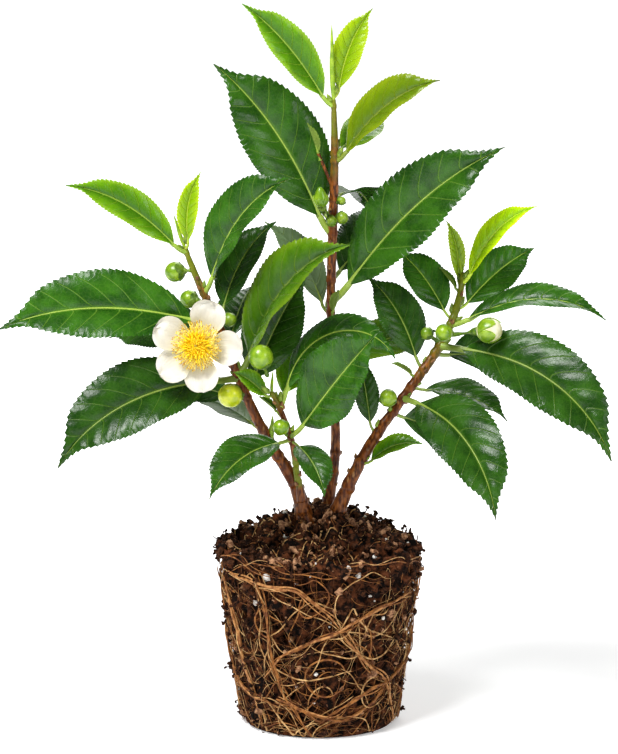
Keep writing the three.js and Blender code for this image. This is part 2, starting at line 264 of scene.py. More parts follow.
def solid(node):
    """A CAD node's merged vertices and the neighbours of each."""
    mesh = NODES[node].data
    corners = np.empty(len(mesh.vertices) * 3, np.float32)
    mesh.vertices.foreach_get("co", corners)
    points, merged = np.unique(np.round(corners.reshape(-1, 3) / MM, 3), axis=0, return_inverse=True)
    loops = np.empty(len(mesh.loops), np.int32)
    mesh.loops.foreach_get("vertex_index", loops)
    faces = merged.reshape(-1)[loops].reshape(-1, 3)
    edges = np.concatenate([faces[:, [0, 1]], faces[:, [1, 2]], faces[:, [2, 0]]])
    return points.astype(float), edges


def levels(count, edges, start):
    """How many edges each vertex is away from the start."""
    level = np.full(count, -1)
    level[start] = 0
    for step in range(count):
        reached = edges[:, 1][(level[edges[:, 0]] == step) & (level[edges[:, 1]] < 0)]
        if not len(reached):
            break
        level[reached] = step + 1
    return level


def spread(points):
    """The longest side of the points' box."""
    return np.ptp(points, axis=0).max()


def rings_of(node):
    """A lofted node's two poles and the rings between them, from the pole with the smaller second ring."""
    points, edges = solid(node)
    meeting = np.bincount(edges[:, 0])
    if meeting.max() > 7:  # the edges that meet at a pole outnumber those at any other point
        one, other = (int(k) for k in np.argsort(meeting)[-2:])
    else:
        one = int(np.argmax(levels(len(points), edges, 0)))
        other = int(np.argmax(levels(len(points), edges, one)))
    level = levels(len(points), edges, one)
    last = level[other]
    if spread(points[level == 2]) > spread(points[level == last - 2]):
        one, other = other, one
        level = levels(len(points), edges, one)
    rings = [points[level == k] for k in range(1, last)]
    return points[one], rings, points[other]


@dataclass
class Blade:
    """A leaf: points down its middle, the way each half spreads at the stations, its breadth and length."""

    ribs: np.ndarray
    left: np.ndarray
    right: np.ndarray
    width: float
    length: float


def rib_shares(length):
    """How far along a leaf its ribs' points lie: the first is inside the stem, the second at the elbow."""
    return np.array((-0.8 / length, 0, *STATIONS))


def outline(v):
    """Half the blade's width, as a share of the greatest, from its base (0) to its tip (1)."""
    return np.sin(np.pi * np.clip(v, 0, 1) ** 0.85).clip(0) ** 0.9 * (1 - 0.45 * smoothstep(0.72, 1, v))


def read_blade(node):
    foot, rings, tip = rings_of(node)
    middles, lefts, rights, halves = [], [], [], []
    across = None
    for ring, share in zip(rings[2:], RING_SHARES):
        centred = ring - ring.mean(axis=0)
        main = np.linalg.svd(centred)[2][0]
        if across is not None and main @ across < 0:
            main = -main
        across = main
        order = np.argsort(centred @ main)
        low, mid, high = (ring[order[k : k + 2]].mean(axis=0) for k in (0, 2, 4))
        middles.append(mid)
        lefts.append(unit(high - mid))
        rights.append(unit(low - mid))
        v = (share - PETIOLE_SHARE) / (1 - PETIOLE_SHARE)
        halves.append(np.linalg.norm(high - mid) / outline(v))
    ribs = np.array([foot, *(ring.mean(axis=0) for ring in rings[:2]), *middles, tip])
    length = np.linalg.norm(np.diff(ribs[1:], axis=0), axis=1).sum()

    # The side that faces the light gets its left and right so that it is the upper one.
    k = 4
    upper = np.cross(middles[k + 1] - middles[k - 1], lefts[k])
    if (upper @ LIT_SIDE < 0) != (node in UNDERSIDE_OUT):
        lefts, rights = rights, lefts
    left, right = (np.array([sides[0], *sides, sides[-1]]) for sides in (lefts, rights))
    return Blade(ribs, left, right, 2 * float(np.median(halves)), length)


class Limb:
    """A stem's centres and radii from its foot to its tip, and how far up each is."""

    def __init__(self, path, radii):
        self.path = path
        self.radii = radii
        steps = np.linalg.norm(np.diff(path, axis=0), axis=1)
        self.along = np.concatenate([[0], np.cumsum(steps)])
        self.length = self.along[-1]

    def at(self, share):
        """The place, the way up the stem and the radius at a share of its length."""
        k = int(np.clip(np.searchsorted(self.along, share * self.length), 1, len(self.path) - 1))
        return self.path[k], unit(self.path[k] - self.path[k - 1]), self.radii[k]

    def nearest(self, point):
        """The number of the centre nearest to a point."""
        return np.argmin(np.linalg.norm(self.path - point, axis=1))


def read_limb(name):
    points, edges = solid("stem_" + name)
    # The inner stem's foot is cut by its parent.
    cut_foot, sunk = (6.0, 7.0) if name == "inner" else (0.3, 2.8)
    heights = np.linspace(points[:, 2].min() + cut_foot, points[:, 2].max() - 0.5, 60)
    a, b = points[edges[:, 0]], points[edges[:, 1]]
    sections = []
    for z in heights:
        crossing = (a[:, 2] - z) * (b[:, 2] - z) < 0
        share = (z - a[crossing, 2]) / (b[crossing, 2] - a[crossing, 2])
        sections.append(a[crossing] + share[:, None] * (b[crossing] - a[crossing]))
    centres = np.array([section.mean(axis=0) for section in sections])
    ways = unit(np.gradient(centres, axis=0))
    radii = []
    for section, centre, way in zip(sections, centres, ways):
        offset = section - centre
        offset -= np.outer(offset @ way, way)
        radii.append(np.linalg.norm(offset, axis=1).mean())
    centres = np.vstack([centres[0] - ways[0] * sunk, centres])
    radii = [radii[0], *radii]
    path = resampled(centres, BARK_STEP)
    share = np.linspace(0, 1, len(path))
    upper = smoothstep(0.4, 0.75, share) * (1 - 0.7 * smoothstep(0.86, 1, share))
    stout = 1 + (UPPER_STOUT[name] - 1) * upper
    return Limb(path, np.interp(share, np.linspace(0, 1, len(radii)), radii) * stout)


# ---------------- making meshes


class Shape:
    """Points and faces gathered from many simple shapes to make one mesh piece."""

    def __init__(self):
        self.points, self.uvs, self.faces, self.looks = [], [], {3: [], 4: []}, {3: [], 4: []}
        self.count = 0

    def add(self, made, look=0):
        """made is points, arrays of quads and triangles and, if it has them, coordinates.

        look is a material's number, or a list with a number or an array for each array of faces.
        """
        points, faces, *uvs = made
        looks = look if isinstance(look, list) else [look] * len(faces)
        for group, numbers in zip(faces, looks):
            sides = group.shape[1]
            self.faces[sides].append(group + self.count)
            self.looks[sides].append(np.broadcast_to(numbers, len(group)))
        self.points.append(points)
        self.uvs.append(uvs[0] if uvs else np.zeros((len(points), 2)))
        self.count += len(points)

    def piece(self, name, materials, slot, replaced=()):
        """The finished object, which rides on the plant and stands for its CAD nodes."""
        corners, sizes, looks = [], [], []
        for sides in (3, 4):
            if self.faces[sides]:
                faces = np.concatenate(self.faces[sides])
                corners.append(faces.ravel())
                sizes.append(np.full(len(faces), sides))
                looks.append(np.concatenate(self.looks[sides]))
        corners, sizes, looks = (np.concatenate(part) for part in (corners, sizes, looks))
        uvs = np.concatenate(self.uvs)
        mesh = bpy.data.meshes.new(name)
        mesh.vertices.add(self.count)
        mesh.vertices.foreach_set("co", (np.concatenate(self.points) * MM).ravel())
        mesh.loops.add(len(corners))
        mesh.loops.foreach_set("vertex_index", corners)
        mesh.polygons.add(len(sizes))
        mesh.polygons.foreach_set("loop_start", np.cumsum(sizes) - sizes)
        mesh.polygons.foreach_set("material_index", looks)
        mesh.polygons.foreach_set("use_smooth", np.ones(len(sizes), bool))
        mesh.uv_layers.new(name="form").data.foreach_set("uv", uvs[corners].ravel())
        mesh.update(calc_edges=True)

        # A blade's or petal's margin, where its coordinate across is 1 or -1, is a sharp edge.
        ends = np.empty(len(mesh.edges) * 2, np.int32)
        mesh.edges.foreach_get("vertices", ends)
        sharp = np.isclose(np.abs(uvs[:, 1]), 1)[ends.reshape(-1, 2)].all(axis=1)
        mesh.attributes.new("sharp_edge", "BOOLEAN", "EDGE").data.foreach_set("value", sharp)
        for material in materials:
            mesh.materials.append(material)
        made = bpy.data.objects.new(name, mesh)
        bpy.context.scene.collection.objects.link(made)
        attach(made, "root")
        if replaced:
            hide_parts(*replaced)


def skin(rings, foot, tip):
    """A closed skin over rows of points that each run round to their start, with a fan at each end."""
    rows, sides = rings.shape[:2]
    count = rows * sides
    r = np.arange(rows - 1)[:, None] * sides
    c = np.arange(sides)
    n = (c + 1) % sides
    quads = np.stack([r + c, r + n, r + n + sides, r + c + sides], axis=-1).reshape(-1, 4)
    first = np.column_stack([n, c, np.full(sides, count)])
    last = np.column_stack([c + count - sides, n + count - sides, np.full(sides, count + 1)])
    return np.vstack([rings.reshape(-1, 3), foot, tip]), [quads, np.concatenate([first, last])]


def skin_uvs(along, angles):
    """(share along, share round) for each point of a skin and its two ends."""
    uv = np.stack(np.meshgrid(along, angles / TURN, indexing="ij"), axis=-1)
    return np.vstack([uv.reshape(-1, 2), [[0, 0], [1, 0]]])


def tube(path, radii, sides=8, relief=1.0):
    """A closed tube along a path."""
    path = np.asarray(path, float)
    ways = unit(np.gradient(path, axis=0))
    side = unit(np.cross(ways[0], UP if abs(ways[0][2]) < 0.9 else np.array([1.0, 0, 0])))
    across = []
    for way in ways:  # square to the path, without needless twist
        side = unit(square_to(side, way))
        across.append(side)
    across = np.array(across)[:, None]
    angles = np.linspace(0, TURN, sides, endpoint=False)
    cos, sin = np.cos(angles)[:, None], np.sin(angles)[:, None]
    ring = across * cos + np.cross(ways, across[:, 0])[:, None] * sin
    radii = np.broadcast_to(radii, len(path))[:, None] * np.ones(sides) * relief
    points = path[:, None] + ring * radii[..., None]
    return *skin(points, path[0], path[-1]), skin_uvs(np.linspace(0, 1, len(path)), angles)


def sheet(top, under, uv=None):
    """A closed thin sheet from a grid of top points and one of under points, whose margins they share."""
    points = np.concatenate([top, under[:, -2:0:-1]], axis=1)
    made = skin(points, points[0].mean(axis=0), points[-1].mean(axis=0))
    if uv is None:
        return made
    uv = np.concatenate([uv, uv[:, -2:0:-1]], axis=1)
    return *made, np.vstack([uv.reshape(-1, 2), uv[0].mean(axis=0), uv[-1].mean(axis=0)])


def grounded(made, height=0.0):
    """The same shape, with what is below a height raised to it."""
    made[0][:, 2] = np.maximum(made[0][:, 2], height)
    return made


# ---------------- materials


class Look:
    """A material, with short ways to add nodes to it."""

    def __init__(self, name, **shader):
        self.material = bpy.data.materials.new(name)
        self.material.use_nodes = True
        self.tree = self.material.node_tree
        self.shader = self.tree.nodes["Principled BSDF"]
        self.set(**shader)

    def set(self, **shader):
        """Sets the shader's sockets, or links nodes to them. A socket's name has _ for its spaces."""
        for name, value in shader.items():
            self.fill(self.shader.inputs[name.replace("_", " ")], value)

    def fill(self, socket, value):
        if isinstance(value, bpy.types.NodeSocket):
            self.tree.links.new(value, socket)
        else:
            socket.default_value = value

    def node(self, kind, inputs, output=0, **settings):
        made = self.tree.nodes.new("ShaderNode" + kind)
        for name, value in settings.items():
            setattr(made, name, value)
        for socket, value in inputs.items():
            self.fill(made.inputs[socket], value)
        return made.outputs[output]

    def place(self):
        """The place in the plant's own frame."""
        return self.node("TexCoord", {}, output="Object")

    def form(self):
        """The two coordinates that run along and across a piece."""
        uv = self.node("UVMap", {}, uv_map="form")
        return (self.node("SeparateXYZ", {0: uv}, output=k) for k in (0, 1))

    def math(self, operation, a, b=0.0):
        return self.node("Math", {0: a, 1: b}, operation=operation)

    def times(self, a, b):
        return self.math("MULTIPLY", a, b)

    def plus(self, a, b):
        return self.math("ADD", a, b)

    def minus(self, a, b):
        return self.math("SUBTRACT", a, b)

    def range(self, value, low, high, to_low=0.0, to_high=1.0):
        inputs = {"Value": value, "From Min": low, "From Max": high, "To Min": to_low, "To Max": to_high}
        return self.node("MapRange", inputs, interpolation_type="SMOOTHSTEP")

    def noise(self, size, detail=2.0, vector=None):
        """Noise in lumps of about that size in millimetres."""
        inputs = {"Vector": vector or self.place(), "Scale": 1 / (size * MM), "Detail": detail}
        return self.node("TexNoise", inputs)

    def mix(self, share, a, b):
        """Two colours mixed. Each is three numbers from 0 to 255, or what a node gives out."""
        a, b = (c if isinstance(c, bpy.types.NodeSocket) else rgb(*c) for c in (a, b))
        return self.node("Mix", {0: share, 6: a, 7: b}, output=2, data_type="RGBA")

    def bump(self, height, depth):
        """Relief of that depth in millimetres."""
        self.set(Normal=self.node("Bump", {"Height": height, "Distance": depth * MM, "Strength": 1.0}))


def vein_gap(look, along):
    """How far a place on a blade is from the nearest side vein, in the veins' spacings."""
    whole = look.math("FRACT", look.plus(along, 0.5))
    return look.math("ABSOLUTE", look.minus(whole, 0.5))


def upper_look(name, dark, light, vein, young):
    """A blade's glossy upper face, with pale veins. A young one is darker along its middle."""
    look = Look(name, Specular_IOR_Level=0.25)
    along, across = look.form()
    away = look.math("ABSOLUTE", across)
    within = look.times(look.range(away, 0.97, 0.8), look.range(vein_gap(look, along), 0.055, 0.0))
    near_rib = look.range(away, 0.1, 0.0)
    mesh = look.node("TexVoronoi", {"Vector": look.place(), "Scale": 620.0}, feature="DISTANCE_TO_EDGE")
    net = look.range(mesh, 0.12, 0.0)
    patches = look.range(look.noise(9, 3), 0.32, 0.68)
    # A young blade is darker along its middle and paler to its margin: partly its own colour, partly painted
    # light that shines through its thin edges.
    if young:
        patches = look.times(look.range(away, 0.05, 0.9), look.plus(patches, 0.35))
    lamina = look.mix(patches, dark, light)
    if young:
        lamina = look.mix(look.times(look.range(away, 0.72, 1.0), 0.55), lamina, vein)
    lamina = look.mix(look.times(net, 0.07), lamina, vein)
    veins = look.math("MAXIMUM", look.times(within, 0.42), look.times(near_rib, 0.35))
    look.set(Base_Color=look.mix(veins, lamina, vein))
    look.set(Roughness=look.range(look.noise(3, 2), 0.3, 0.7, 0.22, 0.32))
    height = look.minus(look.times(look.noise(2.4, 2), 0.3), look.times(net, 0.1))
    look.bump(look.minus(height, within), 0.2)
    return look.material


def under_look(name, under, rib):
    look = Look(name, Roughness=0.55, Specular_IOR_Level=0.35)
    along, _ = look.form()
    within = look.range(vein_gap(look, along), 0.06, 0.0)
    patches = look.mix(look.range(look.noise(7, 3), 0.3, 0.7), [c * 0.86 for c in under], under)
    look.set(Base_Color=look.mix(look.times(within, 0.45), patches, rib))
    look.bump(look.plus(within, look.times(look.noise(1.2, 2), 0.4)), 0.25)
    return look.material


def rib_look(name, rib):
    look = Look(name, Roughness=0.42)
    look.set(Base_Color=look.mix(look.noise(4, 2), [c * 0.85 for c in rib], rib))
    look.bump(look.noise(0.8, 2), 0.1)
    return look.material


def leaf_looks(name, tone, shade):
    """The looks of a leaf's upper face, underside and rib. shade multiplies the colours of its tone."""
    colours = [[min(c * shade, 255) for c in colour] for colour in LEAF_COLOURS[tone]]
    dark, light, vein, under, rib = colours
    top = upper_look(name + "_top", dark, light, vein, tone != "leaf_mature")
    return [top, under_look(name + "_under", under, rib), rib_look(name + "_rib", rib)]


def bark_look(name, green_from, green_to=0.0):
    """Reddish brown bark with cracks and pale pores.

    It is green above one share of the stem's length, and below another.
    """
    look = Look(name, Roughness=0.3, Specular_IOR_Level=0.2)
    along, _ = look.form()
    stretched = look.node("Mapping", {"Vector": look.place(), "Scale": (1, 1, 0.3)})
    grain = look.noise(1.1, 4, stretched)
    blotches = look.noise(6, 3)
    brown = look.mix(look.range(grain, 0.35, 0.68), (62, 27, 6), (146, 84, 34))
    brown = look.mix(look.times(look.range(blotches, 0.4, 0.62), 0.5), brown, (86, 38, 14))
    pores = look.node("TexVoronoi", {"Vector": stretched, "Scale": 420.0, "Randomness": 1.0})
    pore = look.times(look.range(pores, 0.3, 0.16), look.range(look.noise(5, 1), 0.45, 0.6))
    brown = look.mix(look.times(pore, 0.55), brown, (184, 136, 84))
    green = look.mix(look.noise(3, 2), (86, 98, 16), (122, 128, 30))
    wander = look.plus(along, look.times(look.minus(blotches, 0.5), 0.25))
    share = look.range(wander, green_from - 0.1, green_from + 0.14)
    if green_to:
        low = look.range(wander, green_to + 0.08, green_to - 0.04)
        low = look.times(low, look.range(along, 0.1, 0.16))
        share = look.math("MAXIMUM", share, low)
    look.set(Base_Color=look.mix(share, brown, green))
    look.bump(look.plus(look.times(grain, 0.8), pore), 0.09)
    return look.material


def petal_look():
    look = Look("petal_white", Roughness=0.5, Specular_IOR_Level=0.25)
    along, across = look.form()
    # Darker and yellower towards the base: partly the petal's own yellowish base, partly painted shade under
    # the stamens.
    base_shade_and_tint = look.mix(look.range(along, 0.15, 0.62), (200, 190, 122), (214, 211, 200))
    patches = look.range(look.noise(5, 3), 0.3, 0.7, 0.0, 0.4)
    look.set(Base_Color=look.mix(patches, base_shade_and_tint, (204, 200, 184)))
    lengthwise = look.node("CombineXYZ", {0: look.times(along, 2.0), 1: look.times(across, 14.0)})
    look.bump(look.node("TexNoise", {"Vector": lengthwise, "Scale": 1.0, "Detail": 2.0}), 0.25)
    return look.material


def soil_look():
    look = Look("soil", Roughness=0.95, Specular_IOR_Level=0.1)
    dark = look.mix(look.range(look.noise(3.2, 4), 0.42, 0.68), (8, 3, 1), (100, 56, 32))
    warm = look.times(look.range(look.noise(7, 3), 0.45, 0.66), 0.5)
    look.set(Base_Color=look.mix(warm, dark, (34, 17, 9)))
    look.bump(look.noise(0.9, 5), 0.8)
    return look.material


def plain_look(name, dark, light, size, roughness, relief=0.0, gloss=0.5, **shader):
    """A colour that wanders between two shades in lumps of a size, with fine relief."""
    look = Look(name, Specular_IOR_Level=gloss, **shader)
    look.set(Base_Color=look.mix(look.range(look.noise(size, 3), 0.34, 0.66), dark, light))
    rough = (roughness * 0.85, min(roughness * 1.15, 1))
    look.set(Roughness=look.range(look.noise(size * 0.6, 2), 0.3, 0.7, *rough))
    if relief:
        look.bump(look.noise(size * 0.35, 4), relief)
    return look.material


# ---------------- leaves


def teeth(length):
    """Where the points on a blade's margin lie, from 0 to 1, and how far each stands out."""
    pitch = float(np.clip(length / 32, *TOOTH_PITCH))
    count = max(int(length / pitch), 8)
    v = np.append(np.add.outer(np.arange(count), TOOTH_PLACES).ravel() / count, 1)
    out = np.append(np.tile(TOOTH_HEIGHTS, count), 0) * TOOTH_DEPTH * pitch
    return v, out * smoothstep(0.05, 0.14, v) * (1 - smoothstep(0.93, 0.99, v))


def leaf(shape, blade, seed):
    """Adds a leaf to a shape: its blade, and the stalk that runs on under it as its midrib."""
    random = np.random.default_rng(seed)
    blade_length = blade.length * (1 - PETIOLE_SHARE)
    v, tooth = teeth(blade_length)
    share = PETIOLE_SHARE + (1 - PETIOLE_SHARE) * v
    middle = smooth(rib_shares(blade.length), blade.ribs, share)
    way = unit(np.gradient(middle, axis=0))
    half_width = blade.width / 2
    half = half_width * outline(v) * (1 - TIP_DRAWN * smoothstep(0.76, 0.98, v)) + 0.12
    phase = random.uniform(0, 1)
    waves = random.uniform(0, TURN, 2)
    tops, unders, uvs = [], [], []
    for sides, sign, columns in ((blade.right, -1, COLUMNS[:0:-1]), (blade.left, 1, COLUMNS)):
        out = unit(smooth(STATIONS, sides, share))
        lift = unit(np.cross(way, out)) * sign
        for u in columns:
            y = half * u
            q = v * blade_length - 0.62 * y - 0.5 * y * y / half_width
            q = q / (blade_length / VEIN_PAIRS) + phase + 0.22 * math.tanh(9 * u) * sign  # counts the veins
            quilt = np.sin(np.pi * q) ** 2 * smoothstep(0.02, 0.2, u) * (1 - smoothstep(0.84, 1, u))
            quilt = quilt * smoothstep(0.02, 0.12, v) * (1 - smoothstep(0.85, 1, v))
            height = VEIN_SWELL * half_width * quilt + CAMBER * half * (u - u * u)
            wave = np.sin(TURN * 2.6 * v + waves[(sign + 1) // 2])
            height = height + 0.045 * half_width * u**3 * wave
            height = height - 0.25 * (1 - smoothstep(0, 0.09, u))  # a groove along the midrib
            jut = tooth * smoothstep(0.86, 1, u)
            point = middle + out * (y + jut)[:, None] + lift * height[:, None]
            point = point + way * (jut * 0.45)[:, None]
            thick = BLADE_THICK * (1 - smoothstep(0.9, 1, u)) * (0.35 + 0.65 * np.minimum(1, half / 2))
            tops.append(point)
            unders.append(point - lift * thick[:, None])
            uvs.append(np.stack([q, np.full(len(v), u * sign)], axis=1))
    top, under, uv = (np.stack(part, axis=1) for part in (tops, unders, uvs))
    faces_across = len(tops) - 1
    below = (np.arange(2 * faces_across) >= faces_across).astype(int)
    shape.add(sheet(top, under, uv), [np.tile(below, len(v) - 1), 1])
    add_stalk(shape, blade, v, middle, way, lift)


def add_stalk(shape, blade, v, middle, way, lift):
    """The stalk: from inside the stem, along the petiole and on under the blade."""
    root = blade.ribs[0] - unit(blade.ribs[1] - blade.ribs[0]) * 1.4
    base = blade.ribs[2]
    bend = base - way[0] * 0.62 * np.linalg.norm(base - root)
    t = np.linspace(0, 1, 12)[:-1, None]
    petiole = (1 - t) ** 2 * root + 2 * t * (1 - t) * bend + t**2 * base
    thickest = float(np.clip(0.0145 * blade.length, 0.5, 1.25))
    rib_radius = thickest * (1 - v) ** 0.85 * (1 - 0.55 * smoothstep(0, 0.14, v)) + 0.06
    under_rib = middle - lift * (0.42 * rib_radius + 0.1)[:, None]
    swollen = 1 + 0.5 * np.exp(-np.linspace(0, 5, len(petiole)))
    radii = np.concatenate([thickest * 1.12 * swollen, rib_radius[::2]])
    shape.add(tube(np.vstack([petiole, under_rib[::2]]), radii), 2)


def young_leaf(start, aim, length, width, bend, face, fold=35):
    """A small blade that sets out along aim and bends by some degrees towards the way that face looks."""
    face = unit(square_to(face, aim))
    turn = np.radians(bend) * np.linspace(0, 1, 60)
    ways = np.cos(turn)[:, None] * aim - np.sin(turn)[:, None] * face
    path = start + np.cumsum(np.vstack([np.zeros(3), ways]), axis=0) * length / 60
    evenly = np.linspace(0, 1, 61)
    ribs = np.stack([np.interp(rib_shares(length), evenly, path[:, k]) for k in range(3)], axis=1)
    ribs[0] = start - aim * 0.8
    angle = np.radians(bend) * np.array(STATIONS)
    faces = np.sin(angle)[:, None] * aim + np.cos(angle)[:, None] * face
    side = math.cos(math.radians(fold)) * np.cross(aim, face)
    raised = math.sin(math.radians(fold)) * faces
    return Blade(ribs, unit(raised - side), unit(raised + side), width, length)


def furled(shape, start, aim, length, radius, bend, seam=0.16):
    """Adds a rolled young leaf or a pointed bud: a bent spindle with a seam wound round it."""
    rows, sides = 16, 10
    t = np.linspace(0, 1, rows)
    aim = unit(aim)
    swing = unit(np.cross(np.cross(aim, UP), aim) + 1e-6)
    path = start + aim * (t * length)[:, None] + swing * (bend * length * t**2)[:, None]
    radii = radius * (0.45 + 0.55 * smoothstep(0, 0.3, t)) * (1 - t**2.2) ** 0.8 + 0.06
    angle = np.linspace(0, 1, sides, endpoint=False)
    relief = 1 + seam * ((angle[None] + t[:, None] * 1.3) % 1 - 0.5)
    shape.add(tube(path, radii, sides, relief))


def add_leaves():
    random = np.random.default_rng(11)
    blades = {}
    for node in sorted(name for name in NODES if name.startswith("leaf_")):
        blade = blades[node] = read_blade(node)
        blade.width *= SLIMMER.get(node, 1)
        shape = Shape()
        leaf(shape, blade, seed=int(random.integers(1e6)))
        # A random tone, times the leaf's factor, which partly paints light and shade.
        shade = float(random.uniform(0.92, 1.08)) * LEAF_TONES_AND_PAINTED_LIGHT.get(node, 1)
        shape.piece(node + "_blade", leaf_looks(node, SLOTS[node], shade), SLOTS[node], [node])
    return blades


# ---------------- stems


def knotted(limb, name, blades, random):
    """The bark's radii, with a swelling at each leaf and at old leaf scars lower down."""
    knots = [limb.along[limb.nearest(b.ribs[0])] for node, b in blades.items() if f"_{name}_" in node]
    scars = np.arange(8, min(knots) - 4, 12)
    radii = limb.radii
    if name == "inner":  # slim, with a collar where it leaves the left stem
        radii = radii * (INNER_SLIM + 0.5 * np.exp(-((limb.along / 5.5) ** 2)))
    for knot in [*knots, *(scars + random.uniform(-3, 3, len(scars)))]:
        off = limb.along - knot
        radii = radii + (0.06 * limb.radii + 0.14) * np.exp(-((off / 0.9) ** 2))
        radii = radii - 0.12 * np.exp(-(((off + 1.6) / 0.5) ** 2))
    radii[-3:] *= (0.92, 0.75, 0.4)
    return radii


def add_stems(limbs, blades):
    looks = {name: bark_look("bark_" + name, *STEM_GREEN[name]) for name in STEMS}
    for seed, name in enumerate(STEMS):
        limb = limbs[name]
        radii = knotted(limb, name, blades, np.random.default_rng(40 + seed))
        spots = limb.along[:, None, None] * UP * 0.3 + circle(BARK_SIDES) * limb.radii[:, None, None]
        spots = spots.reshape(-1, 3)
        relief = 1 + 0.028 * noise_at(spots, 4.0, seed, 2) + 0.014 * noise_at(spots, 1.2, seed + 5)
        shape = Shape()
        shape.add(tube(limb.path, radii, BARK_SIDES, relief.reshape(-1, BARK_SIDES)))
        shape.piece(f"bark_{name}", [looks[name]], "bark", [f"stem_{name}"])


def add_axil_buds(limbs, blades, random):
    """A small leaf bud where each leaf meets its stem."""
    shape = Shape()
    for node, blade in blades.items():
        limb = limbs[node.split("_")[1]]
        share = limb.along[limb.nearest(blade.ribs[0])] / limb.length
        centre, way, radius = limb.at(share)
        out = unit(square_to(blade.ribs[1] - centre, way))
        start = centre + out * radius * 0.75 + way * 1.6
        size = random.uniform(2.2, 4.2) * (1.25 if share > 0.6 else 1)
        aim = way + out * random.uniform(0.25, 0.7)
        furled(shape, start, aim, size, size * 0.26, random.uniform(-0.1, 0.1))
    shape.piece("axil_buds", [plain_look("axil_bud", (84, 110, 18), (132, 156, 40), 2.0, 0.45, 0.1)], "bud")


def bud_scales(limbs, random):
    """Dry brown scales all along the stems."""
    shape = Shape()
    for name in STEMS:
        for share in np.arange(0.08, 0.92, 0.055):
            centre, way, radius = limbs[name].at(share + random.uniform(-0.03, 0.03))
            out = unit(np.cross(way, direction(random.uniform(0, 360), random.uniform(-20, 20))))
            size = random.uniform(1.3, 2.8), random.uniform(0.5, 0.85)
            furled(shape, centre + out * radius * 0.85, way + out * 0.6, *size, 0.05)
    return shape


def add_spikes(limbs):
    """Rolled leaves that have not yet opened."""
    shape = Shape()
    for name, share, heading, rise, length, radius in SPIKES:
        centre, way, _ = limbs[name].at(share)
        furled(shape, centre - way * 1.5, direction(heading, rise), length, radius, 0.04, seam=0.3)
    tender = plain_look("spike_leaf", (112, 148, 10), (152, 182, 36), 3.0, 0.4, 0.1)
    shape.piece("tip_spikes", [tender], "leaf_tender")


def add_young_leaves(limbs, scales):
    """Leaves too small to be CAD nodes, and a short twig on the centre stem that ends in a folded one."""
    shape = Shape()
    for seed, (name, share, heading, rise, length, width, bend) in enumerate(YOUNG_LEAVES):
        centre, way, radius = limbs[name].at(share)
        aim = direction(heading, rise)
        start = centre + unit(square_to(aim, way)) * radius
        leaf(shape, young_leaf(start, aim, length, width, bend, way - aim * 0.2), seed=300 + seed)
    centre, way, _ = limbs["centre"].at(0.78)
    aim = direction(-160, 68)
    tip = centre + aim * 18 - UP * 0.6
    scales.add(tube(resampled([centre, centre + aim * 9, tip], 0.9), 0.62, 9), 1)
    folded = young_leaf(tip - aim, direction(-155, 72), 14, 4.4, 6, way - aim * 0.2, 62)
    leaf(shape, folded, seed=399)
    shape.piece("young_leaves", leaf_looks("young_leaves", "leaf_fresh", 0.9), "leaf_fresh")


def add_shoots(limbs, blades):
    """The small things that grow where leaves meet the stems, and the sprigs at the stems' tips."""
    random = np.random.default_rng(71)
    add_axil_buds(limbs, blades, random)
    scales = bud_scales(limbs, random)
    add_spikes(limbs)
    add_young_leaves(limbs, scales)
    brown = plain_look("bud_scale", (92, 54, 28), (146, 104, 52), 1.5, 0.6, 0.15)
    scales.piece("bud_scales", [brown, bark_look("bark_twig", 2.0)], "bark")


# ---------------- buds and flower


def globe(centre, aim, radius, squash=1.0, seams=0.04, seed=0, point=0.0):
    """A globe of wrapped petals. point draws its top out, in radii."""
    rows, sides = 22, 30
    side = unit(np.cross(aim, direction(37 * seed, 10)))
    other = np.cross(aim, side)
    t = np.linspace(0.03, 0.985, rows)[:, None]
    angle = np.linspace(0, TURN, sides, endpoint=False)
    polar = np.pi * t
    wound = (angle / TURN * 3 + t * 1.1 + 0.13 * seed) % 1
    out = radius * (1 + seams * (wound - 0.5) * np.sin(polar) * smoothstep(0.15, 0.6, t)) * np.sin(polar)
    up = point * radius * smoothstep(0.62, 1, t) - np.cos(polar) * radius * squash
    ring = np.cos(angle)[:, None] * side + np.sin(angle)[:, None] * other
    points = centre + out[..., None] * ring + up[..., None] * aim
    made = skin(points, centre - aim * radius * squash, centre + aim * radius * (squash + point))
    return *made, skin_uvs(t[:, 0], angle)


def sepals(shape, centre, aim, turn, radius, reaches, width, lifts, look=1):
    """Adds five scales round the foot of a globe.

    Each hugs the globe up to reach degrees from its foot, and every second one lies further out.
    """
    side = unit(np.cross(aim, direction(20, 15)))
    other = np.cross(aim, side)
    t = np.linspace(0, 1, 12)[:, None]
    b = np.linspace(-1, 1, 9)[None]
    edge = 1 - smoothstep(0.7, 1, np.abs(b))
    for k in range(5):
        polar = np.radians(12 + (reaches[k % 2] - 12) * t) * np.ones_like(b)
        half = np.radians(width) * np.sin(np.pi * np.clip(0.22 + 0.78 * t, 0, 1)) ** 0.6
        angle = TURN * k / 5 + turn + b * half / np.maximum(np.sin(polar), 0.4)
        out = np.cos(angle)[..., None] * side + np.sin(angle)[..., None] * other
        way = np.sin(polar)[..., None] * out - np.cos(polar)[..., None] * aim
        shell = radius + lifts[k % 2] + 0.35 * smoothstep(0.75, 1, t)
        top, under = (centre + distance[..., None] * way for distance in (shell, shell - 0.45 * edge))
        shape.add(sheet(top, under), look)


def read_bud(node):
    """A bud's stalk foot, its globe's centre and radius, and the way that it looks."""
    foot, rings, top = rings_of(node)
    if spread(rings[0]) > spread(rings[-1]):
        foot, top = top, foot
    aim = unit(top - foot)
    radius = max(np.linalg.norm(ring - ring.mean(axis=0), axis=1).mean() for ring in rings)
    return foot, top - aim * radius * 1.05, radius * 1.015, aim


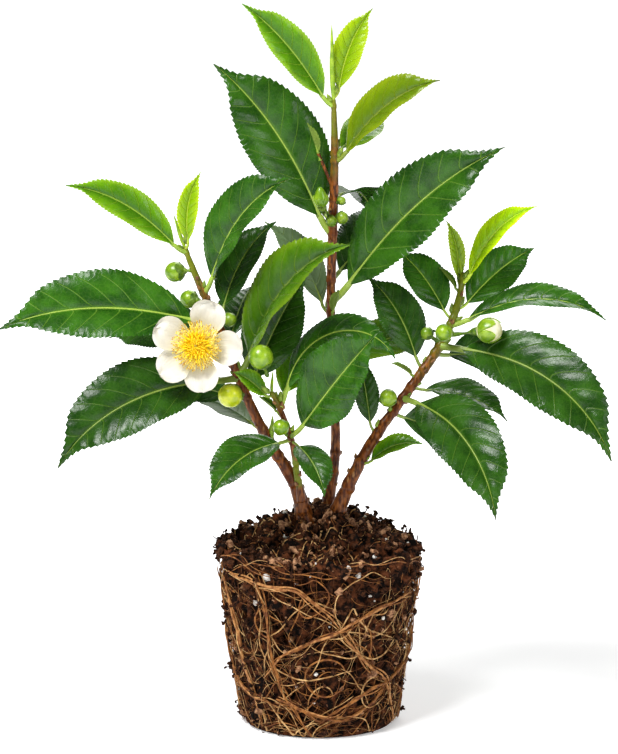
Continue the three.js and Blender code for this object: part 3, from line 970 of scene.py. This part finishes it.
def add_bud(node, seed, looks):
    """One bud: a globe with its sepals and its stalk. An opening bud shows its petals."""
    foot, centre, radius, aim = read_bud(node)
    opening, pointed = node == OPENING_BUD, node == POINTED_BUD
    more, slim, point = 0, (1, 1), 0.0
    stalk_from = aim
    if opening:
        aim = unit(aim + np.array([0.9, 0, 0]))
        more, stalk_from = 70, aim
    middle = foot + aim * 0.5
    if pointed:  # it stands up on a stalk from below
        aim = unit(0.2 * aim + UP)
        foot = foot - 6 * UP
        more, slim, point, stalk_from = 46, (0.88, 0.9), 0.75, UP
        middle = foot + (centre - foot) * 0.5 - UP
    shape = Shape()
    shape.add(globe(centre, aim, radius * slim[0], 1.04, seed=seed, point=point), 2 if opening else 0)
    reaches, look = (66 + more, 78 + more), 0 if more else 1
    sepals(shape, centre, aim, seed, radius * slim[1], reaches, 42, (0.12, 0.24), look)
    stalk = resampled([foot - stalk_from * 1.2, middle, centre - aim * radius * 0.9], 0.8)
    t = np.linspace(0, 1, len(stalk))
    shape.add(tube(stalk, 0.75 + 0.9 * smoothstep(0.6, 1, t) + 0.25 * np.sin(9 * t), 10), 1)
    shape.piece(node + "_globe", looks, "bud", [node])


def add_buds():
    shine = {"Coat_Weight": 0.2, "Coat_Roughness": 0.2}
    green = plain_look("bud_globe", (92, 132, 8), (140, 172, 30), 4.0, 0.3, 0.06, **shine)
    ripe = plain_look("bud_ripe", (162, 180, 10), (206, 214, 44), 4.0, 0.3, 0.06, **shine)
    calyx = plain_look("bud_calyx", (62, 96, 10), (108, 138, 26), 2.5, 0.45, 0.12)
    cream = plain_look("bud_cream", (206, 204, 140), (232, 228, 196), 4.0, 0.4, 0.06)
    for seed, node in enumerate(sorted(name for name in NODES if name.startswith("bud_"))):
        add_bud(node, seed, [ripe if node in RIPE_BUDS else green, calyx, cream])


def add_small_buds(limbs):
    """Round green buds too small to be CAD nodes."""
    shape = Shape()
    for seed, (name, share, heading, rise, reach, radius) in enumerate(SMALL_BUDS):
        foot, way, stem_radius = limbs[name].at(share)
        aim = direction(heading, rise)
        centre = foot + unit(square_to(aim, way)) * stem_radius + aim * reach
        shape.add(globe(centre, aim, radius, 1.1, seed=seed))
        sepals(shape, centre, aim, seed, radius, (100, 100), 42, (0.1, 0.18))
        stalk = resampled([foot, foot + aim * reach * 0.5, centre - aim * radius * 0.8], 0.8)
        shape.add(tube(stalk, 0.8), 1)
    green = plain_look("small_bud", (88, 126, 14), (134, 162, 34), 3.0, 0.35, 0.06)
    scale = plain_look("small_calyx", (56, 90, 12), (96, 128, 26), 2.0, 0.45, 0.12)
    shape.piece("small_buds", [green, scale], "bud")


class Flower:
    """The open flower's heart, the ways that it looks and spreads, and its disc's radius."""

    def __init__(self):
        back, rings, front = rings_of("flower_stamens")
        if front[1] > back[1]:
            back, front = front, back
        self.face = unit(front - back)
        self.disc = max(spread(ring) for ring in rings) / 2
        self.heart = back + self.face * 3.0
        side = unit(np.cross(UP, self.face))
        self.side = side * np.sign(side[0])
        up = np.cross(self.face, self.side)
        self.up = up * np.sign(up[2])

    def at(self, u, v, depth):
        """The points that far to the side of the heart, above it and in front of it."""
        u, v, depth = (np.asarray(part)[..., None] for part in (u, v, depth))
        return self.heart + u * self.side + v * self.up + depth * self.face


def petal(flower, angle, reach, random):
    """A petal with a notch at its end and a rippled margin."""
    size = reach * random.uniform(0.97, 1.03) - 0.5
    a = np.linspace(0, 1, 30)[:, None]
    b = np.linspace(-1, 1, 25)[None]
    rounded = np.sqrt((1 - ((a - PETAL_WIDEST) / (1 - PETAL_WIDEST)) ** 2).clip(0)) ** 0.9
    claw = 0.24 + 0.76 * smoothstep(-0.05, PETAL_WIDEST, a)
    half = PETAL_WIDTH / 2 * random.uniform(0.97, 1.04) * np.where(a > PETAL_WIDEST, rounded, claw) + 0.15
    notch = random.uniform(0.5, 1.3) * np.exp(-(((b - random.uniform(-0.2, 0.2)) / 0.3) ** 2))
    far = 2 + (size - 2) * a - notch * smoothstep(0.75, 1, a)
    wide = half * b
    ripple = np.sin(b * 7 + a * 6 + random.uniform(0, 6)) * 0.45
    depth = -4.6 + 6.4 * a**1.1 + 2.6 * (b**2 - 0.3) * np.sin(np.pi * a * 0.8)
    depth = depth + smoothstep(0.45, 1, np.maximum(a, np.abs(b))) * ripple + b * a
    depth = depth - 1.8 * smoothstep(0.72, 1.0, a)
    c, s = math.cos(math.radians(angle)), math.sin(math.radians(angle))
    top = flower.at(far * c - wide * s, far * s + wide * c, depth)
    thin = 0.3 * (1 - smoothstep(0.8, 1, np.abs(b))) * (1 - 0.6 * smoothstep(0.9, 1, a))
    uv = np.stack(np.broadcast_arrays(a, b), axis=-1)
    return sheet(top, top - thin[..., None] * flower.face, uv)


def add_petals(flower, limb, random):
    """The petals, and behind them the sepals and the stalk from the left stem."""
    heart, face = flower.heart, flower.face
    points, _ = solid("flower_petals")
    ahead = (points - heart) @ face
    flat = points - heart - np.outer(ahead, face)
    reach = np.linalg.norm(flat[ahead > -3], axis=1).max()
    shape = Shape()
    for angle in PETAL_ANGLES:
        shape.add(petal(flower, angle, reach, random))
    root = limb.path[limb.nearest(points[np.argmin(ahead)])]
    stalk = resampled([root, root + (heart - root) * 0.45, heart - face * 7, heart - face * 4], 0.8)
    shape.add(tube(stalk, 1.0 + 1.1 * smoothstep(0.75, 1, np.linspace(0, 1, len(stalk))), 10), 1)
    sepals(shape, heart - face * 0.6, face, 0, 4.6, (62, 62), 36, (0.25, 0.25))
    green = plain_look("flower_stalk", (112, 138, 40), (150, 170, 70), 2.0, 0.5, 0.1)
    shape.piece("flower_petals_open", [petal_look(), green], "petal", ["flower_petals"])


def grain(centre, aim, size):
    """A two-lobed grain about size long, in few faces."""
    path = centre + np.outer(np.linspace(-1, 1, 5) * size, aim)
    return tube(path, size * np.array([0.35, 0.68, 0.6, 0.68, 0.35]), 6)[:2]


def add_stamens(flower, random):
    """A dense golden heap of threads, each with its grain, round the style."""
    heart, face, side = flower.heart, flower.face, flower.side
    filaments, anthers = Shape(), Shape()
    for k in range(STAMENS):
        spot = math.sqrt((k + 0.5) / STAMENS)  # 0 at the middle of the disc, 1 at its edge
        angle = k * GOLDEN_ANGLE + random.uniform(-0.2, 0.2)
        out = math.cos(angle) * side + math.sin(angle) * flower.up
        tall = 5.4 - 3.4 * spot**2 + random.uniform(-0.9, 0.5)
        tip = heart + out * flower.disc * 1.06 * spot + face * tall
        root = heart + out * (0.6 + 2.2 * spot) - face * 3.4
        bow = (root + tip) / 2 - out * 0.5 + face * 0.8 * spot
        thread = tube(resampled([root, bow, tip], 2.0), 0.17 - 0.05 * spot, 5)
        filaments.add(thread, 2 if spot > 0.6 else 0)
        lie = unit(out + face * random.uniform(-0.2, 1.4) + side * random.uniform(-0.6, 0.6))
        outer = spot > 0.66
        size = (0.27 if outer else 0.29) + random.uniform(-0.04, 0.05)
        anthers.add(grain(tip + face * 0.15, lie, size), int(outer and random.random() < 0.7))
    filaments.add(tube(resampled([heart - face * 2, heart + face * 6.1], 0.7), 0.35, 6), 1)
    filaments.add(globe(heart - face * 2.6, face, flower.disc * 0.62, 0.9, 0.0))
    yellow = plain_look("filament", (250, 206, 4), (255, 226, 40), 2.0, 0.5, gloss=0.2)
    style = plain_look("style", (150, 130, 30), (176, 150, 50), 1.0, 0.5)
    bright = plain_look("anther", (252, 214, 6), (255, 234, 60), 1.0, 0.6, gloss=0.2)
    dark = plain_look("anther_dark", (168, 116, 20), (214, 168, 50), 1.0, 0.6, gloss=0.2)
    pale = plain_look("filament_pale", (250, 228, 92), (255, 240, 160), 2.0, 0.5, gloss=0.2)
    filaments.piece("flower_filaments", [yellow, style, pale], "stamen", ["flower_stamens"])
    anthers.piece("flower_anthers", [bright, dark], "stamen")


def add_flower(limbs):
    flower = Flower()
    random = np.random.default_rng(5)
    add_petals(flower, limbs["left"], random)
    add_stamens(flower, random)


# ---------------- root ball


class Ball:
    """The root ball's profile, read from its CAD node, and its rough surface."""

    def __init__(self, random):
        points, _ = solid("root_ball")
        radius = np.linalg.norm(points[:, :2], axis=1)
        self.top = points[:, 2].max() + SOIL_LOOSE
        self.foot = np.percentile(radius[points[:, 2] < 2], 75) - 1.3
        self.rim = np.percentile(radius[points[:, 2] > 0.7 * self.top], 92)
        self.rim_height = points[radius > 0.93 * self.rim][:, 2].max() + 1.5

        over = 1 + np.linspace(0, 0.985, SOIL_TOP_ROWS)[1:]
        self.t = np.concatenate([np.linspace(0, 1, SOIL_SIDE_ROWS), over])
        profile = np.stack(self.profile(self.t), axis=1)
        ring = circle(SOIL_COLUMNS)
        plain = profile[:, 0, None, None] * ring + profile[:, 1, None, None] * UP
        tangent = np.gradient(profile, axis=0)
        normal = unit(np.stack([tangent[:, 1], -tangent[:, 0]], axis=1))
        self.normals = normal[:, 0, None, None] * ring + normal[:, 1, None, None] * UP
        relief = self.relief(plain.reshape(-1, 3), random).reshape(-1, SOIL_COLUMNS)
        relief = relief * smoothstep(0, 0.02, self.t)[:, None]
        self.points = plain + self.normals * relief[..., None]
        self.points[..., 2] = np.maximum(self.points[..., 2], 0)
        self.points[0, :, 2] = 0

    def side(self, z):
        """The radius of the side at a height."""
        return self.foot + (self.rim - self.foot) * np.clip(z / self.rim_height, 0, 1) ** 0.85

    def profile(self, t):
        """(radius, height) along the profile: 0 to 1 up the side, and 1 to 2 over the mound to its middle."""
        up, over = np.clip(t, 0, 1), np.clip(t - 1, 0, 1)
        r = np.where(t <= 1, self.side(up * self.rim_height), self.rim * (1 - over))
        mound = self.rim_height + (self.top - self.rim_height) * smoothstep(0, 0.9, over)
        return r, np.where(t <= 1, up * self.rim_height, mound)

    def relief(self, points, random):
        """How far the soil stands out from the plain profile: clods, crumbs and hollows between them."""
        clods = 2.5 * noise_at(points, 8, 1, 2)
        crumbs = 1.7 * np.abs(noise_at(points, 4.2, 2, 2)) + 0.8 * noise_at(points, 1.8, 3) - 0.5
        pits = np.zeros(len(points))
        for _ in range(HOLLOWS):
            spot = round_at(random.uniform(0, TURN), *self.profile(random.uniform(0.05, 1.75)))
            size, depth = random.uniform(3.0, 7.5), random.uniform(2.5, 6.5)
            off = np.linalg.norm(points - spot, axis=1)
            pits = np.maximum(pits, depth * (1 - smoothstep(0.45 * size, size, off)))
        return clods + crumbs - pits

    def soil(self, t, angle, out=0.0):
        """A point on the rough soil or that far out from it, and the way out."""
        i = np.clip(np.searchsorted(self.t, t), 0, len(self.t) - 1)
        j = int(round(angle / TURN * SOIL_COLUMNS)) % SOIL_COLUMNS
        return self.points[i, j] + self.normals[i, j] * out, self.normals[i, j]


def lump(centre, size, aim, stretch, random):
    """A rough crumb with few faces."""
    path = centre + np.outer(np.linspace(-1, 1, 3) * size * stretch, aim)
    relief = 1 + random.uniform(-0.5, 0.4, (3, 6))
    return tube(path, size * np.array([0.6, 1.0, 0.55]), 6, relief)[:2]


def loose_soil(ball, random):
    """Crumbs all over, and larger clods and chips, mostly on the top and round the rim."""
    shape = Shape()

    def drop(t, size, sunk, lean, stretches, brown):
        spot, way = ball.soil(t, random.uniform(0, TURN), size * sunk)
        aim = unit(random.normal(size=3) + way * lean)
        crumb = grounded(lump(spot, size, aim, random.uniform(*stretches), random))
        shape.add(crumb, int(random.random() < brown))

    for _ in range(CRUMBS):
        t = either(random, 0.42, (1.0, 1.97), (0.01, 1.05))
        drop(t, 0.3 + 1.0 * random.random() ** 3, 0.3, 0.2, (0.8, 1.6), 0.34)
    for _ in range(CLODS):
        t = either(random, 0.75, (0.84, 1.8), (0.05, 0.85))
        drop(t, random.uniform(0.9, 1.9), 0.25, 0.3, (0.9, 1.7), 0.4)
    return shape


def soil_knobs(ball, random):
    """Short stubs of fibre that stand out of the soil, most of them with crumbs at their ends."""
    shape = Shape()
    for _ in range(KNOBS):
        near_rim = random.random() < 0.4
        t = random.uniform(0.88, 1.5) if near_rim else random.uniform(0.02, 0.95)
        spot, way = ball.soil(t, random.uniform(0, TURN))
        length = random.uniform(0.8, 3.4 if near_rim else 2.6)
        aim = unit(way + random.normal(size=3) * 0.45)
        bend = spot + aim * length * 0.5 + random.normal(size=3) * 0.4
        tip = spot + aim * length + random.normal(size=3) * 0.5
        tip[2], bend[2] = max(tip[2], 0.7), max(bend[2], 0.5)
        shape.add(tube(resampled([spot - aim, bend, tip], 1.0), random.uniform(0.16, 0.32), 5)[:2])
        if random.random() < 0.7:
            for _ in range(random.integers(1, 4)):
                near = tip + random.normal(size=3) * 0.45
                size = random.uniform(0.3, 0.8)
                shape.add(grounded(lump(near, size, unit(random.normal(size=3)), 1.3, random)))
    return shape


def perlite_grains(ball, random):
    shape = Shape()

    def drop(t, size, angle, sunk):
        spot, _ = ball.soil(t, angle, size * sunk)
        shape.add(lump(spot, size, unit(random.normal(size=3)), 0.9, random))

    for _ in range(PERLITE):
        t = either(random, 0.6, (0.72, 1.15), (0.1, 1.9))
        drop(t, random.uniform(0.45, 1.25), random.uniform(0, TURN), 0.35)
    for angle, t, size in LARGE_PERLITE:
        drop(t, size, math.radians(angle) % TURN, 0.5)
    return shape


def add_crumbs(ball, random):
    crumbs, knobs = loose_soil(ball, random), soil_knobs(ball, random)
    grains = perlite_grains(ball, random)
    dark = plain_look("crumb_dark", (12, 6, 3), (80, 48, 30), 1.6, 0.95, 0.4, gloss=0.1)
    # The pale tan crumbs are partly tan fibre and partly painted highlights on lit crumbs.
    brown = plain_look("crumb_tan_and_highlight", (84, 50, 30), (182, 136, 100), 1.6, 0.9, 0.4, gloss=0.2)
    white = plain_look("perlite", (214, 208, 198), (246, 244, 238), 1.2, 0.85, 0.3)
    crumbs.piece("soil_crumbs", [dark, brown], "soil")
    knobs.piece("soil_knobs", [dark], "soil")
    grains.piece("perlite_grains", [white], "soil")


def wander(ball, random, start, heading, length, turn, step=2.0):
    """A root's own way over the side, as (degrees round from the front, height) waypoints."""
    a, z = start
    highest = ball.rim_height * random.uniform(*ROOTS_TO)
    points = [(a, z)]
    bend = random.normal() * turn
    for _ in range(max(int(length / step), 3)):
        bend = 0.75 * bend + random.normal() * turn
        heading += bend
        a += math.degrees(step * math.cos(heading) / ball.side(z))
        z += step * math.sin(heading)
        if z < 1.0 or z > highest:
            heading = -heading
            z = min(max(z, 1.0), highest)
        points.append((a, z))
    return points


def lay(shape, ball, random, waypoints, radius, out, sides, step, wobble=0.1, looks=1):
    """Adds a root over the side, along (degrees round from the front, height) waypoints."""
    path = []
    for a, z in resampled(waypoints, 2.0):
        z = min(max(z, 0.8), ball.rim_height)
        path.append(round_at(math.radians(a - 90), ball.side(z) + out, z))
    t = np.arange(len(path))[:, None]
    swing = wobble * np.sin(t * random.uniform(0.25, 0.6, 3) + random.uniform(0, 6, 3))
    path = resampled(path + swing, step)
    t = np.linspace(0, 1, len(path))
    radii = radius * (0.25 + 0.75 * np.sin(np.pi * t) ** 0.4) * (1 - 0.35 * t)
    radii = radii * (1 + 0.12 * np.sin(t * 40 + random.uniform(0, 6)))
    shape.add(grounded(tube(path, radii, sides), 0.02), int(random.integers(looks)))


def shifted(track, turn, rise):
    return [(a + turn, z + rise) for a, z in track]


def root_loop(ball):
    """The waypoints of the one root that curls round on itself."""
    angle, height, radius = ROOT_LOOP["angle"], ROOT_LOOP["height"], ROOT_LOOP["radius"]
    track = []
    for turn in np.linspace(0.3, TURN + 0.1, 15):
        across = math.degrees(radius * math.cos(turn) / ball.side(height))
        track.append((angle + across, height + radius * math.sin(turn)))
    return track


def add_roots(ball, random):
    """Roots over the side: strands of thick ones, their branches, and ever finer ones between them."""
    thick, medium, fine, hairs = Shape(), Shape(), Shape(), Shape()

    def stray(lowest, highest, lengths, turn, step=2.0):
        start = (random.uniform(-180, 180), random.uniform(lowest, ball.rim_height * highest))
        heading, length = random.uniform(-np.pi, np.pi), random.uniform(*lengths)
        return wander(ball, random, start, heading, length, turn, step)

    tracks = [list(track) for track in MAIN_ROOTS]
    for k in range(BACK_ROOTS):
        start = (85 + k * 15 + random.uniform(-8, 8), random.uniform(20, 66))
        heading, length = random.uniform(-2.6, -0.5), random.uniform(45, 80)
        tracks.append(wander(ball, random, start, heading, length, 0.05))
    for track in tracks:
        lay(thick, ball, random, track, random.uniform(0.6, 0.75), 1.6, 9, 0.9, 0.3, 2)
        lay(thick, ball, random, shifted(track, 1.0, 0.7), 0.42, 1.6, 7, 0.9, 0.6, 2)
        lay(thick, ball, random, shifted(track, -0.8, -0.8), 0.32, 1.5, 7, 0.9, 0.8, 2)
        lay(medium, ball, random, shifted(track[:-1], 0.4, -1.4), 0.26, 1.4, 6, 1.0, 1.1, 2)
    lay(medium, ball, random, root_loop(ball), 0.45, 1.2, 7, 0.9)
    for track in RIM_ROOTS:
        lay(medium, ball, random, track, 0.26, 1.3, 6, 1.0, 0.5)
        lay(medium, ball, random, shifted(track, 2, 1.2), 0.17, 1.3, 6, 1.0, 0.9, 2)
    for track in tracks:
        for _ in range(5):
            start = track[random.integers(len(track))]
            heading, length = random.uniform(-np.pi, np.pi), random.uniform(15, 45)
            branch = wander(ball, random, start, heading, length, 0.12)
            lay(medium, ball, random, branch, random.uniform(0.25, 0.42), 1.3, 6, 1.1, 0.3, 2)
    for _ in range(MEDIUM_ROOTS):
        track = stray(3, 0.8, (14, 48), 0.16)
        lay(medium, ball, random, track, random.uniform(0.18, 0.34), 1.1, 6, 1.1, 0.3, 2)
    for _ in range(FINE_ROOTS):
        track = stray(1, 0.8, (12, 42), 0.1)
        radius, out = random.uniform(0.08, 0.15), random.uniform(0.5, 1.7)
        lay(fine, ball, random, track, radius, out, 4, 1.5, 0.35, 3)
    for _ in range(ROOT_HAIRS):
        track = stray(1, 1, (4, 12), 0.35, 1.6)
        radius, out = random.uniform(0.08, 0.2), random.uniform(-0.5, 1.0)
        lay(hairs, ball, random, track, radius, out, 4, 1.4, 0.5, 2)

    golden = plain_look("root_golden", (96, 50, 16), (158, 102, 46), 2.2, 0.66, 0.3, gloss=0.3)
    pale = plain_look("root_pale", (150, 104, 54), (208, 168, 112), 2.2, 0.66, 0.2, gloss=0.3)
    tan = plain_look("root_tan", (124, 72, 28), (190, 134, 76), 1.6, 0.6, 0.3, gloss=0.35)
    brown = plain_look("root_brown", (52, 26, 10), (96, 56, 28), 2.2, 0.7, 0.2, gloss=0.2)
    thick.piece("roots_thick", [golden, tan], "bark")
    hairs.piece("roots_fuzz", [brown, golden], "bark")
    medium.piece("roots_medium", [golden, pale], "bark")
    fine.piece("roots_fine", [golden, pale, brown], "bark")
    top_roots(ball, random).piece("roots_on_top", [golden, pale], "bark")


def top_roots(ball, random):
    """Fine roots that run over the top of the soil."""
    shape = Shape()
    for _ in range(TOP_ROOTS):
        angle, t = random.uniform(0, TURN), random.uniform(1.0, 1.75)
        heading = random.uniform(0, TURN)
        spot = round_at(angle, *ball.profile(t))[:2]
        path = []
        for _ in range(int(random.uniform(5, 16))):
            heading += random.normal() * 0.35
            spot = spot + 1.7 * np.array([math.cos(heading), math.sin(heading)])
            far = np.linalg.norm(spot)
            if far > ball.rim * 0.97 or far < 6:
                break
            path.append(ball.soil(2 - far / ball.rim, math.atan2(spot[1], spot[0]) % TURN, 0.35)[0])
        if len(path) > 3:
            root = tube(resampled(path, 1.2), random.uniform(0.1, 0.3), 5)
            shape.add(root, int(random.integers(2)))
    return shape


def add_ball():
    random = np.random.default_rng(23)
    ball = Ball(random)
    shape = Shape()
    shape.add(skin(ball.points, np.zeros(3), ball.points[-1].mean(axis=0)))
    shape.piece("soil_body", [soil_look()], "soil", ["root_ball"])
    add_crumbs(ball, random)
    add_roots(ball, random)


# ---------------- studio


def aim_at(made, place, target):
    """Puts a camera or a lamp at a place, to look at a target."""
    made.location = np.array(place) * MM
    way = Vector((np.array(target) - place).tolist())
    made.rotation_euler = way.to_track_quat("-Z", "Y").to_euler()
    bpy.context.scene.collection.objects.link(made)


def add_camera():
    camera = bpy.data.objects.new("camera", bpy.data.cameras.new("camera"))
    camera.data.lens = CAMERA_LENS
    camera.data.sensor_width = 36
    camera.data.clip_end = 60
    aim_at(camera, CAMERA_AT, CAMERA_AIM)
    bpy.context.scene.camera = camera


def add_floor():
    rim = circle(FLOOR_SIDES) * FLOOR_RADIUS
    points = (np.vstack([np.zeros(3), rim]) - UP * FLOOR_DROP) * MM
    faces = [(0, k, k % FLOOR_SIDES + 1) for k in range(1, FLOOR_SIDES + 1)]
    mesh = bpy.data.meshes.new("floor")
    mesh.from_pydata(points.tolist(), [], faces)
    look = Look("floor_pale", Roughness=0.9, Specular_IOR_Level=0.1)
    look.set(Base_Color=look.mix(look.noise(900, 2), (240, 240, 241), (246, 246, 246)))
    away = look.node("VectorMath", {0: look.place()}, output="Value", operation="LENGTH")
    glow = look.range(away, FLOOR_PLAIN * MM, FLOOR_BRIGHT * MM, *FLOOR_GLOW)
    look.set(Emission_Color=(1, 1, 1, 1), Emission_Strength=glow)
    mesh.materials.append(look.material)
    floor = bpy.data.objects.new("floor", mesh)
    bpy.context.scene.collection.objects.link(floor)


def add_world():
    """A backdrop that the camera sees as white, and that lights the plant only softly."""
    world = bpy.data.worlds.new("studio")
    world.use_nodes = True
    nodes, links = world.node_tree.nodes, world.node_tree.links
    strength = nodes.new("ShaderNodeMapRange")
    strength.inputs["To Min"].default_value = WORLD_LIGHT
    links.new(nodes.new("ShaderNodeLightPath").outputs["Is Camera Ray"], strength.inputs["Value"])
    links.new(strength.outputs[0], nodes["Background"].inputs["Strength"])
    nodes["Background"].inputs["Color"].default_value = (1, 1, 1, 1)
    bpy.context.scene.world = world


def add_lamps():
    for name, place, size, power in LAMPS:
        lamp = bpy.data.lights.new(name, "AREA")
        lamp.size = size * MM
        lamp.energy = power
        holder = bpy.data.objects.new(name, lamp)
        aim_at(holder, place, LAMPS_AIM)


def add_studio():
    add_camera()
    add_floor()
    add_world()
    add_lamps()
    bpy.context.scene.view_settings.view_transform = "Standard"


add_studio()
limbs = {name: read_limb(name) for name in STEMS}
blades = add_leaves()
add_stems(limbs, blades)
add_shoots(limbs, blades)
add_buds()
add_small_buds(limbs)
add_flower(limbs)
add_ball()
